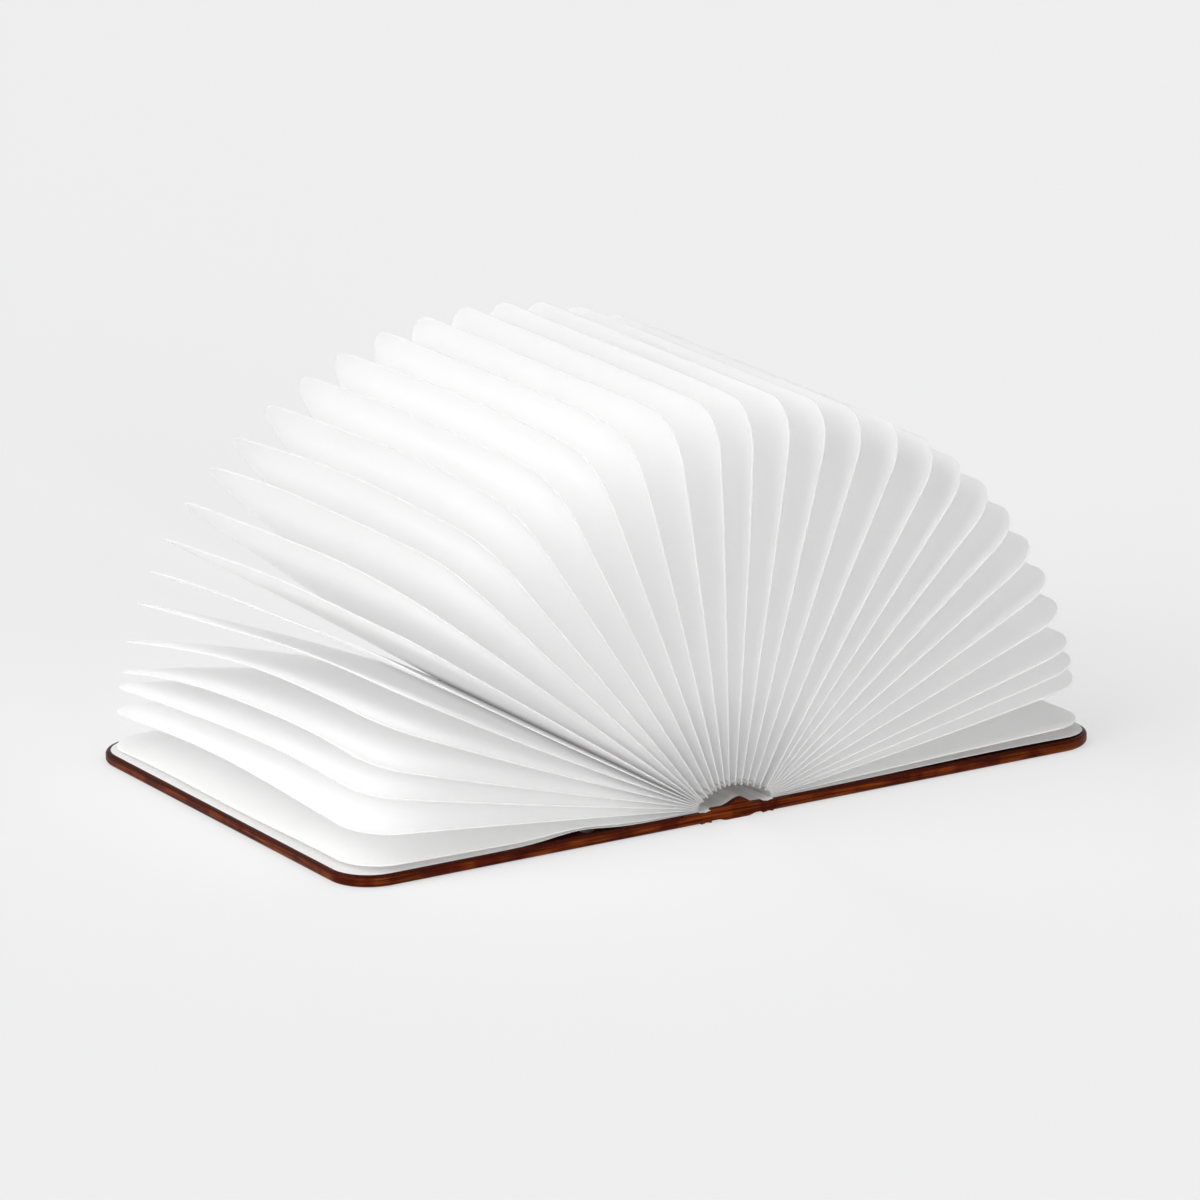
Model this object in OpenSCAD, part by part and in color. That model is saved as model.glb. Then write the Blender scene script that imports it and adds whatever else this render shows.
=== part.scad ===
/* Folding book lamp, standing half open: two covers swing on a hollow spine
   and carry a fan of folded paper leaves that rises over the light. */

/* [Covers] */
// Length of a cover along the spine
cover_l = 215; // [200:1:230]
// Width of a cover from its hinge line to the fore-edge
cover_w = 158; // [150:1:168]
// Thickness of a cover board
board_t = 4.75; // [4.5:0.05:5.1]
// Radius of the two outer corners of a cover
corner_r = 18.1; // [12:0.1:24]
// Rounding of the cover's long edges
arris_r = 1.6; // [0.8:0.1:2.1]
// Width of the rebate that takes the leather flange
rebate_w = 8; // [6:0.5:10]
// Depth of that rebate
rebate_d = 0.65; // [0.5:0.05:0.8]
// Diameter of the disc magnets that hold the book shut
magnet_d = 6; // [4:0.5:8]
// Thickness of the disc magnets
magnet_t = 2; // [1:0.1:2.5]
// Distance of the inner magnets from the hinge line
magnet_inner = 49; // [40:1:60]
// Distance of the outer magnets from the fore-edge
magnet_outer = 11; // [9:0.5:16]
// Diameter of the magnet that switches the light
switch_d = 4; // [3:0.5:5]
// Thickness of the magnet that switches the light
switch_t = 1.5; // [1:0.1:2]
// Thickness of the paper glued inside a cover
endpaper_t = 0.13; // [0.1:0.01:0.16]
// Bare board left along the fore-edge of a cover
endpaper_rim = 4; // [3:0.5:8]

/* [Spine] */
// Width of the spine body
spine_w = 23.6; // [23:0.1:24.4]
// Space between the spine body and a hinge line
joint_w = 5.2; // [5:0.1:5.8]
// Thickness of the leather across a joint
leather_t = 3.9; // [3.4:0.1:4.2]
// Width of the flat band the spine stands on
belly_flat = 10; // [8:0.5:12]
// Rise of the underside towards its long edges
belly_rise = 0.8; // [0.4:0.1:1]
// Thickness of the tray's side walls
wall_t = 1.4; // [1.2:0.1:1.6]
// Width of the ledge that carries the plate
ledge_w = 0.5; // [0.4:0.1:0.7]
// Thickness of the tray's floor
floor_t = 1.3; // [1.2:0.05:1.5]
// Thickness of an end cap
cap_t = 2.5; // [2:0.1:3.5]
// Depth of an end cap's locating tongues
tongue_d = 3; // [2:0.5:4]

/* [Light] */
// Wall thickness of the diffuser
diffuser_t = 1; // [0.8:0.05:1.1]
// Height of the diffuser's crest over its flat skirt
crest_h = 2.7; // [2.2:0.1:3]
// Sideways place of the crest
crest_x = 2; // [1.5:0.1:2.5]
// Reach of the crest to the left
crest_left = 9; // [8:0.5:9.5]
// Reach of the crest to the right
crest_right = 6; // [6:0.5:8]
// Height of the skirt above its seat on the left
skirt_left = 0.95; // [0.9:0.05:1.1]
// Height of the skirt above its seat on the right
skirt_right = 0.45; // [0.4:0.05:0.6]
// Thickness of the aluminium plate under the lights
plate_t = 0.5; // [0.4:0.1:0.8]
// Width of the light strip
strip_w = 6; // [5:0.5:6.5]
// Thickness of the light strip
strip_t = 0.6; // [0.4:0.1:0.8]
// Width of one light chip
chip_w = 2.8; // [2.2:0.1:3.2]
// Length of one light chip
chip_l = 3.5; // [2.5:0.1:4]
// Height of one light chip
chip_h = 0.7; // [0.5:0.1:0.8]

/* [Electrics] */
// Gap left between the two battery cells
cell_split = 2; // [1:0.5:6]
// Thickness of a battery cell
cell_t = 2.6; // [2.6:0.05:2.9]
// Gap between the control board and the tray's sides
pcb_gap = 1.4; // [1:0.1:2]
// Length of the control board
pcb_l = 18; // [16:0.5:18.5]
// Thickness of the control board
pcb_t = 0.8; // [0.6:0.1:0.9]
// Width of the charging socket
socket_w = 9; // [8.6:0.1:9.2]
// Height of the charging socket
socket_h = 3.2; // [3:0.05:3.3]
// Depth of the charging socket
socket_d = 7.3; // [6.5:0.1:8]
// Diameter of a battery wire
wire_d = 0.8; // [0.6:0.05:0.85]

/* [Leaves] */
// Thickness of the leaf paper
paper_t = 0.13; // [0.11:0.01:0.15]
// Gap between the two sheets of a folded leaf at its root
sheet_gap = 0.06; // [0.04:0.01:0.08]
// Thickness of a leaf at its soft fold along the fore-edge
fold_t = 0.62; // [0.45:0.01:0.7]
// Gap between stacked leaves at their roots
leaf_gap = 0.06; // [0.05:0.01:0.08]
// How far a leaf stays short of the cover's width
leaf_short = 4; // [4:0.1:8]
// Bare cover beyond the leaves at the near end
near_inset = 1.9; // [1:0.1:5]
// Bare cover beyond the leaves at the far end
far_inset = 2.5; // [1:0.1:5]
// Radius of a leaf's two outer corners
leaf_corner_r = 18; // [12:0.5:24]
// Lean of the middle leaf from upright
lean_angle = 0.6; // [0:0.1:1.5]
// Angle from one leaf to the next at the middle
step_angle = 5.37; // [5.3:0.01:5.4]
// How far the left leaves sag towards their cover
left_sag_angle = 6.5; // [5:0.1:7]
// How far the right leaves sag towards their cover
right_sag_angle = 6.6; // [5:0.1:8]
// Angle by which two leaves cling to a neighbour
cling_angle = 1.05; // [0:0.05:1.2]
// Angle by which two more leaves cling a little
weak_cling_angle = 0.55; // [0:0.05:0.6]
// Sideways place of the middle leaf's root
crown_x = -2.4; // [-3.5:0.1:-1.5]
// Height of the middle leaf's root above the boards
crown_rise = 8.4; // [8:0.1:9]
// How far each stacked root stands out from the last, along its leaf
root_shift = 0.15; // [0.12:0.01:0.16]
// Height of the inner folds above the leaf roots
fold_rise = 1.6; // [1.2:0.1:2.4]
// Depth to which an inner fold dips between two leaves
fold_dip = 0.7; // [0.3:0.1:1]

/* [Hidden] */
$fa = 6;
$fs = 0.15;

leaf_count = 33;
middle_leaf = (leaf_count + 1) / 2;
stacked = 11;
chip_count = 16;

fit = 0.1;
seat = 0.05;
over = 0.5;
clear = 2;

spine_half = spine_w / 2;
hinge_x = spine_half + joint_w;
cover_half_l = cover_l / 2;
cavity_half = spine_half - wall_t - ledge_w;
shelf_half = spine_half - wall_t;
cell_z = floor_t + 3 * seat;
shelf_z = cell_z + cell_t + seat;
seat_z = shelf_z + plate_t + seat;
tray_half_l = cover_half_l - cap_t;
strip_z = shelf_z + plate_t;
curve_steps = 30;
bead_steps = 8;

leaf_len = cover_w - leaf_short;
leaf_l = cover_l - near_inset - far_inset;
root_t = 2 * paper_t + sheet_gap;
stack_pitch = root_t + leaf_gap;
stack_base = endpaper_t + root_t;

pcb_w = 2 * (cavity_half - pcb_gap);
boss_h = 1.5;
boss_d = 3.6;
pcb_z = floor_t + boss_h;
pcb_y = tray_half_l - over - pcb_l / 2;
pcb_start = pcb_y - pcb_l / 2;
plate_end = pcb_start - clear;
cells_start = -tray_half_l + tongue_d + 2 * clear;
cells_end = pcb_start - 3 * clear;
cell_l = (cells_end - cells_start - cell_split) / 2;
cell_w = 2 * (cavity_half - wire_d - 3 * fit);
chip_pitch = (plate_end + tray_half_l - clear) / chip_count;
screw_x = pcb_w / 2 - 2;
screw_y = pcb_start + 2 * clear;
screw_d = 1.4;
screw_head_d = 2.6;
screw_head_h = 0.7;
socket_x = crest_x;
socket_z = floor_t + 0.35 + socket_h / 2;
socket_wall = 0.3;
sensor_l = 2.9;
sensor_w = 1.6;
sensor_h = 0.9;
switch_x = hinge_x + switch_d;
switch_y = pcb_y;

// Angle of a leaf in degrees, from the right cover round to the left
function fan_share(i) = abs(i - middle_leaf) / (leaf_count + 1) * 2;
function sag(i) = i <= middle_leaf
    ? left_sag_angle * sin(180 * fan_share(i))
    : -right_sag_angle * sin(180 * pow(fan_share(i), 2));
function cling(i) = i == 1 || i == leaf_count - 1 ? cling_angle
    : i == 8 || i == 9 ? weak_cling_angle
    : i == 5 || i == 6 || i == leaf_count - 3 ? -weak_cling_angle : 0;
function leaf_angle(i) = 90 + lean_angle + step_angle * (middle_leaf - i) + sag(i) + cling(i);

// Root of a stacked leaf: on a line that stays tangent to a circle about the hinge
function side(i) = i > middle_leaf ? 1 : -1;
function order(i) = i > middle_leaf ? leaf_count - i : i - 1;
function lift(i) = stack_base + order(i) * stack_pitch;
function stacked_root(i) = [
    side(i) * hinge_x - side(i) * lift(i) * sin(leaf_angle(i)) + root_shift * order(i) * cos(leaf_angle(i)),
    board_t + side(i) * lift(i) * cos(leaf_angle(i)) + root_shift * order(i) * sin(leaf_angle(i))];

// Roots between the stacks stand on an arch over the diffuser
arch_foot_left = stacked_root(stacked);
arch_foot_right = stacked_root(leaf_count + 1 - stacked);
function arch_foot(i) = i > middle_leaf ? arch_foot_right : arch_foot_left;
function arch_share(i) = abs(i - middle_leaf) / (middle_leaf - stacked);
function arch_root(i) = [
    crown_x + (arch_foot(i)[0] - crown_x) * arch_share(i),
    board_t + crown_rise - (board_t + crown_rise - arch_foot(i)[1]) * pow(arch_share(i), 2)];
function leaf_root(i) = order(i) < stacked ? stacked_root(i) : arch_root(i);

// Point on a leaf: so far out along it, and so far off its middle plane
function on_leaf(i, out, off) = leaf_root(i)
    + out * [cos(leaf_angle(i)), sin(leaf_angle(i))]
    + off * [-sin(leaf_angle(i)), cos(leaf_angle(i))];

// Height of the diffuser's top across the spine
function skirt(x) = seat_z + skirt_left + (skirt_right - skirt_left) * (x + spine_half) / spine_w;
function crest_reach(x) = x < crest_x ? crest_left : crest_right;
function crest(x) = abs(x - crest_x) < crest_reach(x)
    ? crest_h * (1 + cos(180 * (x - crest_x) / crest_reach(x))) / 2 : 0;
function spine_top(x) = skirt(x) + crest(x);

// Height of the spine's underside, flat in the middle
function belly_share(x) = min(1, max(0, (abs(x) - belly_flat / 2) / (spine_half - 3 - belly_flat / 2)));
function spine_belly(x) = belly_rise * (1 - cos(180 * belly_share(x))) / 2;

across = [for (k = [0:curve_steps]) -spine_half + spine_w * k / curve_steps];
back_across = [for (k = [curve_steps:-1:0]) across[k]];

function leaf_name(i) = str("leaf_", i < 10 ? "0" : "", i);

// A section drawn in X and Z, run along Y from one end to the other
module along_y(from, to) {
    translate([0, to, 0])
        rotate([90, 0, 0])
            linear_extrude(to - from)
                children();
}

module slot_shape(w, h) {
    square([w - h, h], center = true);
    for (s = [-1, 1])
        translate([s * (w - h) / 2, 0])
            circle(h / 2);
}

module rounded_sheet(w, l, r) {
    translate([0, -l / 2])
        square([w - r, l]);
    translate([w - r, -l / 2 + r])
        square([r, l - 2 * r]);
    for (s = [-1, 1])
        translate([w - r, s * (l / 2 - r)])
            circle(r);
}

// Half of a board's section: square at the middle, rounded at the rim
module rim_section(w) {
    square([w - arris_r, board_t]);
    translate([0, arris_r])
        square([w, board_t - 2 * arris_r]);
    for (z = [arris_r, board_t - arris_r])
        translate([w - arris_r, z])
            circle(arris_r);
}

module rounded_board() {
    flat_w = cover_w - corner_r;
    flat_l = cover_l - 2 * corner_r;
    rotate([90, 0, 90])
        linear_extrude(flat_w) {
            rim_section(cover_half_l);
            mirror([1, 0])
                rim_section(cover_half_l);
        }
    translate([flat_w, 0, 0])
        along_y(-flat_l / 2, flat_l / 2)
            rim_section(corner_r);
    for (s = [-1, 1])
        translate([flat_w, s * flat_l / 2, 0])
            rotate([0, 0, s > 0 ? 0 : -90])
                rotate_extrude(angle = 90)
                    rim_section(corner_r);
}

module at_magnets() {
    for (s = [-1, 1]) {
        translate([magnet_inner, s * (cover_half_l - arris_r - magnet_d / 2 - 2), 0])
            children();
        translate([cover_w - magnet_outer, s * (cover_half_l - magnet_outer), 0])
            children();
    }
}

// A cover seen from its hinge line, with the fore-edge towards +X
module cover_board(with_switch) {
    difference() {
        rounded_board();
        translate([-over, -cover_l, board_t - rebate_d])
            cube([rebate_w + over, 2 * cover_l, rebate_d + over]);
        at_magnets()
            translate([0, 0, board_t - magnet_t - fit])
                cylinder(d = magnet_d + fit, h = magnet_t + fit + over);
        if (with_switch)
            translate([switch_x - hinge_x, switch_y, board_t - rebate_d - switch_t - fit])
                cylinder(d = switch_d + fit, h = switch_t + fit + over);
    }
}

module endpaper() {
    translate([2 * fit, 0, board_t])
        linear_extrude(endpaper_t)
            rounded_sheet(cover_w - endpaper_rim - 2 * fit, leaf_l, corner_r - endpaper_rim / 2);
}

module magnets() {
    at_magnets()
        translate([0, 0, board_t - magnet_t - seat])
            cylinder(d = magnet_d, h = magnet_t);
}

// Leather across a joint, with a groove below and a flange let into the cover
module hinge_leather() {
    groove_r = joint_w / 4;
    top = board_t - seat;
    along_y(-cover_half_l, cover_half_l)
        difference() {
            union() {
                translate([-joint_w + 3 * seat, board_t - leather_t])
                    square([joint_w - 6 * seat, leather_t - seat]);
                translate([-6 * seat, top - rebate_d + fit])
                    square([rebate_w, rebate_d - fit]);
            }
            translate([-joint_w / 2, board_t - leather_t - groove_r / 2])
                circle(groove_r);
        }
}

module left_side() {
    translate([-hinge_x, 0, 0])
        mirror([1, 0, 0])
            children();
}

module right_side() {
    translate([hinge_x, 0, 0])
        children();
}

module spine_board() {
    color("saddlebrown") {
        along_y(-tray_half_l, tray_half_l)
            difference() {
                polygon(concat([for (x = across) [x, spine_belly(x)]],
                    [[spine_half, seat_z], [-spine_half, seat_z]]));
                translate([-cavity_half, floor_t])
                    square([2 * cavity_half, seat_z]);
                translate([-shelf_half, shelf_z])
                    square([2 * shelf_half, seat_z]);
            }
        screw_bosses();
    }
}

module screw_bosses() {
    for (s = [-1, 1])
        translate([s * screw_x, screw_y, 0])
            difference() {
                translate([0, 0, floor_t - over])
                    cylinder(d = boss_d, h = pcb_z - floor_t + over);
                translate([0, 0, floor_t + 2 * fit])
                    cylinder(d = screw_d + fit, h = pcb_z);
            }
}

module cap_shape() {
    polygon(concat([for (x = across) [x, spine_belly(x)]], [for (x = back_across) [x, spine_top(x)]]));
}

// End cap at the near end; its tongues point along +Y into the tray
module blank_cap() {
    along_y(0, cap_t)
        cap_shape();
    for (s = [-1, 1])
        translate([s * (cavity_half - fit - wall_t / 4), cap_t + tongue_d / 2, (floor_t + shelf_z) / 2])
            cube([wall_t / 2, tongue_d + seat, shelf_z - floor_t - 2 * fit], center = true);
}

module front_end_cap() {
    color("saddlebrown")
        translate([0, -cover_half_l, 0])
            blank_cap();
}

module rear_end_cap() {
    color("saddlebrown")
        difference() {
            translate([0, cover_half_l, 0])
                mirror([0, 1, 0])
                    blank_cap();
            along_y(tray_half_l - over, cover_half_l + over)
                translate([socket_x, socket_z])
                    slot_shape(socket_w + 2 * fit, socket_h + 2 * fit);
        }
}

module diffuser() {
    color("ivory")
        along_y(-tray_half_l, tray_half_l)
            polygon(concat([for (x = across) [x, max(seat_z, spine_top(x) - diffuser_t)]],
                [for (x = back_across) [x, spine_top(x)]]));
}

module reflector_plate() {
    color("silver")
        translate([-shelf_half + 2 * fit, -tray_half_l + over, shelf_z])
            cube([2 * shelf_half - 4 * fit, tray_half_l - over + plate_end, plate_t]);
}

module led_board() {
    color("whitesmoke")
        translate([crest_x - strip_w / 2, -tray_half_l + clear, strip_z])
            cube([strip_w, tray_half_l - clear + plate_end, strip_t]);
}

module led_chips() {
    strip_mid = (plate_end - tray_half_l + clear) / 2;
    color("khaki")
        for (k = [0:chip_count - 1])
            translate([crest_x - chip_w / 2,
                    strip_mid + (k - (chip_count - 1) / 2) * chip_pitch - chip_l / 2, strip_z + strip_t])
                cube([chip_w, chip_l, chip_h]);
}

module battery_cells() {
    color("dimgray")
        for (start = [cells_start, cells_end - cell_l])
            along_y(start, start + cell_l)
                translate([0, cell_z + cell_t / 2])
                    slot_shape(cell_w, cell_t);
}

module wiring() {
    wire_x = cavity_half - fit - wire_d / 2;
    color("firebrick")
        for (s = [-1, 1])
            along_y(-cover_half_l / 2, screw_y - boss_d / 2 - seat)
                translate([s * wire_x, floor_t + fit + wire_d / 2])
                    circle(wire_d / 2);
}

module control_board() {
    color("darkgreen")
        difference() {
            translate([-pcb_w / 2, pcb_start, pcb_z])
                cube([pcb_w, pcb_l, pcb_t]);
            translate([socket_x - socket_w / 2 - fit, cover_half_l - socket_d - fit, 0])
                cube([socket_w + 2 * fit, socket_d + over, board_t]);
            for (s = [-1, 1])
                translate([s * screw_x, screw_y, 0])
                    cylinder(d = screw_d + 4 * fit, h = board_t);
        }
}

module control_board_screws() {
    color("silver")
        for (s = [-1, 1])
            translate([s * screw_x, screw_y, 0]) {
                translate([0, 0, floor_t + 3 * fit])
                    cylinder(d = screw_d, h = pcb_z + pcb_t - floor_t - 2 * fit);
                translate([0, 0, pcb_z + pcb_t])
                    cylinder(d = screw_head_d, h = screw_head_h);
            }
}

module charging_socket() {
    tongue_w = socket_w - 2.4;
    color("silver") {
        along_y(cover_half_l - socket_d, cover_half_l)
            translate([socket_x, socket_z])
                difference() {
                    slot_shape(socket_w, socket_h);
                    slot_shape(socket_w - 2 * socket_wall, socket_h - 2 * socket_wall);
                }
        along_y(cover_half_l - socket_d, cover_half_l - socket_d + 1)
            translate([socket_x, socket_z])
                slot_shape(socket_w - socket_wall, socket_h - socket_wall);
        translate([socket_x - tongue_w / 2, cover_half_l - socket_d, socket_z - socket_wall])
            cube([tongue_w, socket_d - 1, 2 * socket_wall]);
    }
}

module hall_sensor() {
    color("black")
        translate([-pcb_w / 2 + fit, switch_y - sensor_w / 2 + 2, pcb_z + pcb_t])
            cube([sensor_l, sensor_w, sensor_h]);
}

module left_hinge_leather() {
    color("sienna")
        left_side()
            hinge_leather();
}

module right_hinge_leather() {
    color("sienna")
        right_side()
            hinge_leather();
}

// Inner folds of the paper: one shallow V between each two standing leaves
module inner_fold_strip() {
    color("linen")
        along_y(-cover_half_l + near_inset, cover_half_l - far_inset)
            for (i = [stacked:leaf_count - stacked])
                inner_fold(i);
}

module inner_fold(i) {
    left_end = on_leaf(i, fold_rise, -root_t / 2 - seat);
    right_end = on_leaf(i + 1, fold_rise, root_t / 2 + seat);
    up_angle = (leaf_angle(i) + leaf_angle(i + 1)) / 2;
    up = [cos(up_angle), sin(up_angle)];
    dip = (left_end + right_end) / 2 - fold_dip * up;
    polygon([left_end, dip, right_end,
        right_end + paper_t * up, dip + paper_t * up, left_end + paper_t * up]);
}

module left_cover_board() {
    color("saddlebrown")
        left_side()
            cover_board(true);
}

module left_endpaper() {
    color("linen")
        left_side()
            translate([0, (near_inset - far_inset) / 2, 0])
                endpaper();
}

module left_magnets() {
    color("silver")
        left_side()
            magnets();
}

module left_switch_magnet() {
    color("silver")
        translate([-switch_x, switch_y, board_t - rebate_d - switch_t - seat])
            cylinder(d = switch_d, h = switch_t);
}

module right_cover_board() {
    color("saddlebrown")
        right_side()
            cover_board(false);
}

module right_endpaper() {
    color("linen")
        right_side()
            translate([0, (near_inset - far_inset) / 2, 0])
                endpaper();
}

module right_magnets() {
    color("silver")
        right_side()
            magnets();
}

// One leaf lying flat: a sheet folded softly at the fore-edge, open at the root
module folded_leaf() {
    intersection() {
        along_y(-leaf_l / 2, leaf_l / 2)
            leaf_section();
        translate([0, 0, -fold_t])
            linear_extrude(2 * fold_t)
                rounded_sheet(leaf_len, leaf_l, leaf_corner_r);
    }
}

module leaf_section() {
    polygon(concat([[0, root_t / 2]], bead_arc(fold_t / 2, 90), [[0, -root_t / 2], [0, -sheet_gap / 2]],
        bead_arc(fold_t / 2 - paper_t, -90), [[0, sheet_gap / 2]]));
}

// Half a circle round the fold, from one side of the leaf to the other
function bead_arc(radius, start) = [for (k = [0:bead_steps])
    let (turn = start * (1 - 2 * k / bead_steps))
        [leaf_len - fold_t / 2 + radius * cos(turn), radius * sin(turn)]];

module leaf(i) {
    root = leaf_root(i);
    color("linen")
        translate([root[0], (near_inset - far_inset) / 2, root[1]])
            rotate([0, -leaf_angle(i), 0])
                folded_leaf();
}

spine_board();
front_end_cap();
rear_end_cap();
diffuser();
reflector_plate();
led_board();
led_chips();
battery_cells();
wiring();
control_board();
control_board_screws();
charging_socket();
hall_sensor();
left_hinge_leather();
right_hinge_leather();
inner_fold_strip();
left_cover_board();
left_endpaper();
left_magnets();
left_switch_magnet();
right_cover_board();
right_endpaper();
right_magnets();
for (i = [1:leaf_count])
    leaf(i);
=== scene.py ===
# %% [markdown]
# # A folding book lamp
# The lamp is a book: two lacquered wooden covers, a light bar for a spine, and a fan
# of white paper leaves that spreads when the covers open flat.
# The CAD model comes in as a fixed frame. Wood, metal and plastic keep their CAD
# meshes and get finishes. Paper and leather are soft, so they are made again here,
# as surfaces that numpy works out and Blender only thickens.

# %% Load the frame
import math
import bpy
import numpy as np
from mathutils import Matrix, Vector


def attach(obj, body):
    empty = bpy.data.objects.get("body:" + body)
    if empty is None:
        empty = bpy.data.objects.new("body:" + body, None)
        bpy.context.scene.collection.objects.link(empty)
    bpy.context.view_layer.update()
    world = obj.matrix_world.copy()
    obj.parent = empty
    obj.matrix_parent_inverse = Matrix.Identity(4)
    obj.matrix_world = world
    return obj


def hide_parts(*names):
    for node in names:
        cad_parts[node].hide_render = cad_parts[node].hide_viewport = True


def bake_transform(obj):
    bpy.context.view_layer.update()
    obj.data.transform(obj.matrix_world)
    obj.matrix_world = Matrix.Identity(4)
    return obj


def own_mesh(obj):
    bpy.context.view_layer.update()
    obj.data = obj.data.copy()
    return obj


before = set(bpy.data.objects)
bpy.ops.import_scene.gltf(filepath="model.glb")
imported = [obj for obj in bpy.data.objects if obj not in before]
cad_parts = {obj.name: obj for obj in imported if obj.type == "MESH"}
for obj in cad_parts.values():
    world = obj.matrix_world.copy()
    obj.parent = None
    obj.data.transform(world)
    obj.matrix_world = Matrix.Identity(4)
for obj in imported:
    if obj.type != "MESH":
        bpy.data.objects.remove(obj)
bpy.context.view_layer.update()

MM = 0.001

# %% [markdown]
# ## The camera
# A photograph of a small object is taken with a long lens from far away, which keeps
# it nearly without perspective. A camera could be turned by three Euler angles, but
# an azimuth, an elevation and a small roll are easier to tune against a photograph,
# so the camera's three axes are worked out from those and put into its matrix.

# %% Camera
AZIMUTH, ELEVATION, ROLL = math.radians(-30.98), math.radians(16.29), math.radians(-0.8)
DISTANCE = 3.6352
AIM = np.array([0.0025, 0.0, 0.06309])
LENS_MM, SENSOR_MM = 270.55, 36.0
CLIP_START, CLIP_END = 0.1, 60.0


def put(name, data):
    """A new object in the scene that shows the given mesh, lamp or camera data."""
    made = bpy.data.objects.new(name, data)
    bpy.context.scene.collection.objects.link(made)
    return made


back = np.array([math.sin(AZIMUTH) * math.cos(ELEVATION),
                 -math.cos(AZIMUTH) * math.cos(ELEVATION), math.sin(ELEVATION)])
level = np.array([math.cos(AZIMUTH), math.sin(AZIMUTH), 0.0])
rise = np.cross(back, level)
right = level * math.cos(ROLL) + rise * math.sin(ROLL)
upward = rise * math.cos(ROLL) - level * math.sin(ROLL)
camera = put("camera", bpy.data.cameras.new("camera"))
camera.data.lens, camera.data.sensor_width = LENS_MM, SENSOR_MM
camera.data.clip_start, camera.data.clip_end = CLIP_START, CLIP_END
axes = Matrix(np.column_stack([right, upward, back]).tolist()).to_4x4()
camera.matrix_world = Matrix.Translation(AIM + back * DISTANCE) @ axes
bpy.context.scene.camera = camera
bpy.context.scene.view_settings.view_transform = "Standard"
print("camera stands at", [round(v, 3) for v in camera.matrix_world.translation])

# %% [markdown]
# ## Finishes from nodes
# No real surface has one flat colour. A finish could come from photographs of the
# material, but a few nodes give the same at any distance and need no picture. Here a
# noise of a real size in millimetres moves the colour, the roughness and the height
# together, as dirt, fibres and grain do. Colours are written as sRGB hex, as a paint
# chart gives them, and turned to the linear values that the renderer adds up.

# %% Helpers that write nodes
def linear(hex_code):
    """Linear RGBA from sRGB hex: ((c + 0.055) / 1.055) to the power 2.4, and c / 12.92
    near black."""
    c = np.array([int(hex_code[k:k + 2], 16) for k in (1, 3, 5)]) / 255.0
    bent = np.where(c > 0.04045, ((c + 0.055) / 1.055) ** 2.4, c / 12.92)
    return (*(float(v) for v in bent), 1.0)


def add(tree, kind, inputs=None, **settings):
    """Adds a node, sets its properties, and fills or links its inputs."""
    node = tree.nodes.new(kind)
    for name, value in settings.items():
        setattr(node, name, value)
    for key, value in (inputs or {}).items():
        if isinstance(value, bpy.types.NodeSocket):
            tree.links.new(value, node.inputs[key])
        else:
            node.inputs[key].default_value = value
    return node


def blank(name, **sockets):
    """A material with one Principled shader; constants go straight onto its sockets."""
    made = bpy.data.materials.new(name)
    made.use_nodes = True
    shader = made.node_tree.nodes["Principled BSDF"]
    for socket, value in sockets.items():
        shader.inputs[socket.replace("_", " ")].default_value = value
    return made, made.node_tree, shader


print("#808080 in linear light:", round(linear("#808080")[0], 4))

# %% [markdown]
# ## From one noise to a whole finish
# A pattern is a noise in the object's own coordinates, scaled so that its blobs have
# a real size, and drawn out along an axis where the material has grain. Everything
# else goes between two ends as the noise goes from its lows to its highs. That takes
# two steps: how far along the noise is, and then a mix of two numbers or two colours
# by that share.

# %% Recipe for a finish
NOISE_LOW, NOISE_HIGH = 0.3, 0.7


def pattern(tree, size_mm, stretch=(1, 1, 1), detail=3.0):
    """Noise whose blobs are about size_mm across, drawn out by stretch along X, Y and Z."""
    place = add(tree, "ShaderNodeTexCoord").outputs["Object"]
    scale = [1 / (size_mm * MM * s) for s in stretch]
    turned = add(tree, "ShaderNodeMapping", {"Vector": place, "Scale": scale})
    return add(tree, "ShaderNodeTexNoise",
               {"Vector": turned.outputs["Vector"], "Scale": 1.0, "Detail": detail}).outputs["Fac"]


def between(tree, factor, low, high, start=NOISE_LOW, end=NOISE_HIGH):
    """What goes from low to high as factor goes from start to end, and stays there beyond.
    Low and high are two numbers, or two colours as hex or as sockets."""
    way = add(tree, "ShaderNodeMapRange",
              {"Value": factor, "From Min": start, "From Max": end}).outputs[0]
    if isinstance(low, (int, float)):
        return add(tree, "ShaderNodeMix", {"Factor": way, 2: low, 3: high}).outputs[0]
    first, second = (linear(c) if isinstance(c, str) else c for c in (low, high))
    return add(tree, "ShaderNodeMix", {"Factor": way, 6: first, 7: second},
               data_type="RGBA").outputs[2]


def surface(tree, shader, colour, factor, rough, bump_mm):
    """Links a colour, and a roughness and a height that follow factor, to the shader."""
    height = add(tree, "ShaderNodeBump", {"Height": factor, "Distance": bump_mm * MM})
    tree.links.new(colour, shader.inputs["Base Color"])
    tree.links.new(between(tree, factor, *rough), shader.inputs["Roughness"])
    tree.links.new(height.outputs["Normal"], shader.inputs["Normal"])


def finish(name, low, high, size_mm, rough, bump_mm, stretch=(1, 1, 1), detail=3.0, **sockets):
    """A finish from one noise: colour low to high, roughness over a range, height in mm."""
    made, tree, shader = blank(name, **sockets)
    factor = pattern(tree, size_mm, stretch, detail)
    surface(tree, shader, between(tree, factor, low, high), factor, rough, bump_mm)
    return made


print("noise scale for blobs of 1 mm:", round(1 / MM))

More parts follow.
